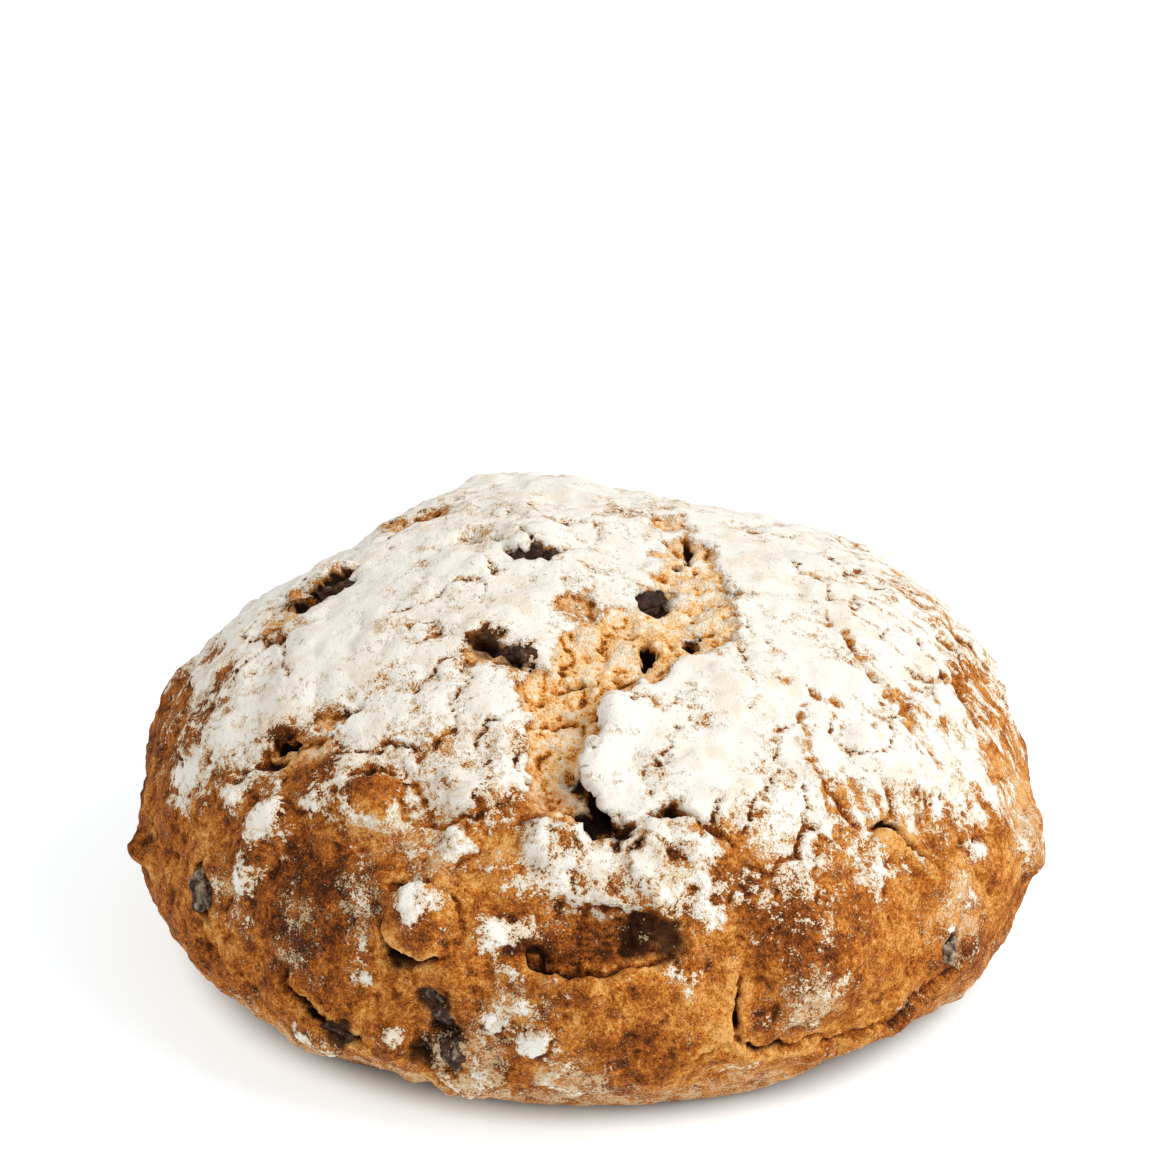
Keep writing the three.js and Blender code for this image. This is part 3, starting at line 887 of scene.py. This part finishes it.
def crustMaterial():
    material, add = newMaterial("floured_bread_crust")
    field = {}
    for name in ("powder", "dust", "torn", "browned", "dark", "fruit", "streaky"):
        field[name] = add("Attribute", {"attribute_name": name}, output="Fac")
    place = add("TexCoord", output="Object")
    # each noise's colour holds three patterns of its size
    fine = {}
    for name, (size, detail) in crustLook["patterns"].items():
        noiseInputs = {"Vector": place, "Scale": 1 / (size * mm), "Detail": detail, "Roughness": 0.6}
        colour = add("TexNoise", {}, noiseInputs, "Color")
        split = add("SeparateXYZ", {}, {0: colour}).node
        fine[name] = list(split.outputs)

    # browning: the crust's own fine pattern over its painted bake and painted crease shade
    tone = field["browned"]
    weights = {"blotch": (1, 0.5), "patch": (0, 1.1), "fleck": (0, 1.0), "grain": (0, 0.9)}
    for name, (which, weight) in weights.items():
        tone = add("Math", multiplyAdd, {0: fine[name][which], 1: weight, 2: tone})
    tone = add("Math", subtract, {0: tone, 1: 1.74})  # what the patterns average
    crustColour = add("ValToRGB", {"stops": crustLook["crust"]}, {"Fac": tone}, "Color")
    crumbColour = add("ValToRGB", {"stops": crustLook["crumb"]}, {"Fac": tone}, "Color")
    colour = add("Mix", mixColours, {0: field["torn"], 6: crustColour, 7: crumbColour}, 2)

    # fruit showing through: dark plum brown
    stain = add("Math", multiplyAdd, {0: fine["fleck"][1], 1: 2.4, 2: -0.85})
    darker, paler = (hexColour(code) for code in crustLook["fruit"])
    plum = add("Mix", mixColours, {0: stain, 6: darker, 7: paler}, 2)
    fruity = add("Math", multiply, {0: field["fruit"], 1: 0.95})
    colour = add("Mix", mixColours, {0: fruity, 6: colour, 7: plum}, 2)
    # painted shade in cracks and hollows: near black, with a ragged speckled edge
    dark = add("Math", multiplyAdd, {0: field["dark"], 1: 1.5, 2: -0.75})
    dark = add("Math", multiplyAdd, {0: fine["fleck"][1], 1: 1.5, 2: dark})
    dark = add("Math", multiply, {0: dark, 1: field["dark"]})
    dark = add("MapRange", smooth, {"Value": dark, "From Min": 0.05, "From Max": 0.95})
    colour = add("Mix", mixColours, {0: dark, 6: colour, 7: hexColour(crustLook["crack"])}, 2)

    # dust: single pale specks, more of them where it is dustier
    speck = field["dust"]
    for name, which in (("grain", 2), ("fleck", 0), ("patch", 1)):
        speck = add("Math", multiplyAdd, {0: fine[name][which], 1: 9, 2: speck})
    low, high = crustLook["dustEdge"]
    speck = add("MapRange", smooth, {"Value": speck, "From Min": low, "From Max": high, "To Max": 0.8})
    colour = add("Mix", mixColours, {0: speck, 6: colour, 7: hexColour(crustLook["dust"])}, 2)

    # streaks run downhill on the right flank: one pattern all the way along a line from the crown
    flat = add("VectorMath", multiply, {0: place, 1: (1, 1, 0)})
    spoke = add("VectorMath", {"operation": "NORMALIZE"}, {0: flat})
    spread = add("VectorMath", {"operation": "SCALE"}, {0: spoke, "Scale": 90 * mm})
    lift = add("VectorMath", multiply, {0: place, 1: (0.2, 0.2, 0.25)})
    streakPlace = add("VectorMath", {"operation": "ADD"}, {0: spread, 1: lift})
    streakScale = 1 / (crustLook["streakSize"] * mm)
    streak = add("TexNoise", {}, {"Vector": streakPlace, "Scale": streakScale, "Detail": 3})
    streak = add("Math", subtract, {0: streak, 1: 0.5})
    streak = add("Math", multiply, {0: streak, 1: field["streaky"]})

    # flour: a cake of powder with a speckled edge
    cake = add("Math", multiplyAdd, {0: streak, 1: crustLook["streaks"], 2: field["powder"]})
    weights = {"grain": (1, 9), "fleck": (2, 13), "patch": (2, 18), "blotch": (0, 10)}
    for name, (which, weight) in weights.items():
        cake = add("Math", multiplyAdd, {0: fine[name][which], 1: weight, 2: cake})
    low, high = crustLook["flourEdge"]
    cover = add("MapRange", smooth, {"Value": cake, "From Min": low, "From Max": high})
    low, high = crustLook["flourThick"]
    thick = add("MapRange", smooth, {"Value": cake, "From Min": low, "From Max": high})
    unshaded = add("Math", subtract, {0: 1, 1: dark})
    covered = add("Math", multiply, {0: cover, 1: unshaded})
    thin, white = (hexColour(code) for code in crustLook["flour"])
    powder = add("Mix", mixColours, {0: thick, 6: thin, 7: white}, 2)
    veil = add("Math", {"operation": "ADD"}, {0: fine["patch"][1], 1: fine["blotch"][2]})
    veil = add("MapRange", smooth, {"Value": veil, "From Min": 0.98, "From Max": 1.25, "To Max": 0.35})
    powder = add("Mix", mixColours, {0: veil, 6: powder, 7: hexColour(crustLook["veil"])}, 2)
    colour = add("Mix", mixColours, {0: covered, 6: colour, 7: powder}, 2)

    # relief: the powder stands over the crust, and the bare crust is rough
    rough = add("Math", multiplyAdd, {0: cover, 1: -0.7, 2: 1})
    grainHeight, fleckHeight = crustLook["grit"]
    middle = (grainHeight + fleckHeight) / 2
    grit = add("Math", multiplyAdd, {0: fine["grain"][0], 1: grainHeight * mm, 2: -middle * mm})
    grit = add("Math", multiplyAdd, {0: fine["fleck"][0], 1: fleckHeight * mm, 2: grit})
    grit = add("Math", multiply, {0: grit, 1: rough})
    thinStep, thickStep = crustLook["powderStep"]
    height = add("Math", multiplyAdd, {0: cover, 1: thinStep * mm, 2: grit})
    height = add("Math", multiplyAdd, {0: thick, 1: thickStep * mm, 2: height})
    bump = add("Bump", {}, {"Strength": 1, "Distance": 1, "Height": height})
    surface = {"Base Color": colour, "Roughness": 0.9, "Specular IOR Level": 0.12, "Normal": bump}
    shader = add("BsdfPrincipled", {}, surface)
    add("OutputMaterial", {}, {"Surface": shader})
    return material


# Dried grape skin: near black with a plum tinge, deeply wrinkled and a little waxy, so it
# keeps a dull gleam, with flour caught on its ridges.
raisinLook = {
    "skin": ("#140A05", "#4C2A14"),
    "flour": "#DDC6A6",
    "mottle": 1.6,  # mm across
    "grit": 1.5,  # mm across
    "gritHeight": 0.4,
    "flourEdge": (1.3, 2.1),  # the sums of flour and grit at which it begins, and is full
}


def raisinMaterial():
    material, add = newMaterial("baked_raisin_skin")
    place = add("TexCoord", output="Object")
    mottleScale = 1 / (raisinLook["mottle"] * mm)
    tone = add("TexNoise", {}, {"Vector": place, "Scale": mottleScale, "Detail": 3})
    tone = add("MapRange", {}, {"Value": tone, "From Min": 0.3, "From Max": 0.7})
    darker, paler = (hexColour(code) for code in raisinLook["skin"])
    skin = add("Mix", mixColours, {0: tone, 6: darker, 7: paler}, 2)
    gritScale = 1 / (raisinLook["grit"] * mm)
    grain = add("TexNoise", {}, {"Vector": place, "Scale": gritScale, "Detail": 4})
    floured = add("Attribute", {"attribute_name": "floured"}, output="Fac")
    amount = add("Math", multiplyAdd, {0: grain, 1: 1.6, 2: floured})
    low, high = raisinLook["flourEdge"]
    speck = add("MapRange", smooth, {"Value": amount, "From Min": low, "From Max": high, "To Max": 0.8})
    colour = add("Mix", mixColours, {0: speck, 6: skin, 7: hexColour(raisinLook["flour"])}, 2)
    depth = add("Math", multiply, {0: grain, 1: raisinLook["gritHeight"] * mm})
    bump = add("Bump", {}, {"Strength": 1, "Distance": 1, "Height": depth})
    surface = {"Base Color": colour, "Roughness": 0.68, "Specular IOR Level": 0.3, "Normal": bump}
    shader = add("BsdfPrincipled", {}, surface)
    add("OutputMaterial", {}, {"Surface": shader})
    return material


crustPiece.data.materials.clear()
crustPiece.data.materials.append(crustMaterial())
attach(crustPiece, "root")
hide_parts("loaf")
skin = raisinMaterial()
for piece in raisinPieces:
    piece.data.materials.append(skin)
    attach(piece, "root")
print("loaf: materials made")

studio = {
    "floorSize": 6,  # metres
    "floorColour": "#B9C3CA",
    "glowAndContactShadow": (0.05, 0.67),  # glows evenly, as a light table does, and is dimmed under the loaf to a painted contact shadow
    "contactShadowRings": (74, 86),  # mm from the middle: where the painted contact shadow ends and the even glow starts
    "contactShadowOval": (0.9, 1, 1),  # the painted shadow is wider across, as the loaf is
    "sky": 0.67,
    "sun": {"from": (1.0, -0.35, 0.95), "strength": 1.87, "spread": 32},
}


def buildStudio():
    bpy.ops.object.select_all(action="DESELECT")
    bpy.ops.mesh.primitive_plane_add(size=studio["floorSize"])
    floor = bpy.context.active_object
    floor.name = "floor"
    paper = bpy.data.materials.new("white_paper_floor")
    paper.use_nodes = True
    shader = paper.node_tree.nodes["Principled BSDF"]
    shader.inputs["Base Color"].default_value = hexColour(studio["floorColour"])
    shader.inputs["Roughness"].default_value = 0.9
    shader.inputs["Specular IOR Level"].default_value = 0
    shader.inputs["Emission Color"].default_value = hexColour("#FFFEFB")
    add = partial(addNode, paper.node_tree)
    # the glow is dimmed near the loaf to a painted contact shadow
    place = add("TexCoord", output="Object")
    place = add("VectorMath", multiply, {0: place, 1: studio["contactShadowOval"]})
    reach = add("VectorMath", {"operation": "LENGTH"}, {0: place}, "Value")
    rings = {"From Min": studio["contactShadowRings"][0] * mm, "From Max": studio["contactShadowRings"][1] * mm}
    glowWithShadow = {"Value": reach, **rings, "To Min": studio["glowAndContactShadow"][0], "To Max": studio["glowAndContactShadow"][1]}
    glowWithShadow = add("MapRange", smooth, glowWithShadow)
    paper.node_tree.links.new(glowWithShadow, shader.inputs["Emission Strength"])
    floor.data.materials.append(paper)
    scene.world = bpy.data.worlds.new("studio")
    scene.world.use_nodes = True
    sky = scene.world.node_tree.nodes["Background"]
    sky.inputs["Color"].default_value = (1, 1, 1, 1)
    sky.inputs["Strength"].default_value = studio["sky"]
    sun = studio["sun"]
    lamp = bpy.data.lights.new("softbox", "SUN")
    lamp.energy = sun["strength"]
    lamp.angle = math.radians(sun["spread"])
    softbox = bpy.data.objects.new("softbox", lamp)
    softbox.rotation_euler = Vector(sun["from"]).to_track_quat("Z", "Y").to_euler()
    scene.collection.objects.link(softbox)
    scene.view_settings.view_transform = "Standard"


camera = {
    "elevation": 28,  # degrees above the floor
    "distance": 650,  # mm from the loaf's middle
    "lens": 90,
    "aim": (0, 0, 38),
    "tiltUp": 3.71,  # looks over the loaf, which sits low in the frame
    "panLeft": 0.2,
}


def buildCamera():
    view = bpy.data.objects.new("camera", bpy.data.cameras.new("camera"))
    scene.collection.objects.link(view)
    view.data.lens = camera["lens"]
    tilt = math.radians(camera["elevation"])
    back = Vector((0, -math.cos(tilt), math.sin(tilt)))
    view.location = (Vector(camera["aim"]) + back * camera["distance"]) * mm
    pitch = math.radians(90 - camera["elevation"] + camera["tiltUp"])
    view.rotation_euler = (pitch, 0, math.radians(camera["panLeft"]))
    scene.camera = view


buildStudio()
buildCamera()
print("loaf: studio set")
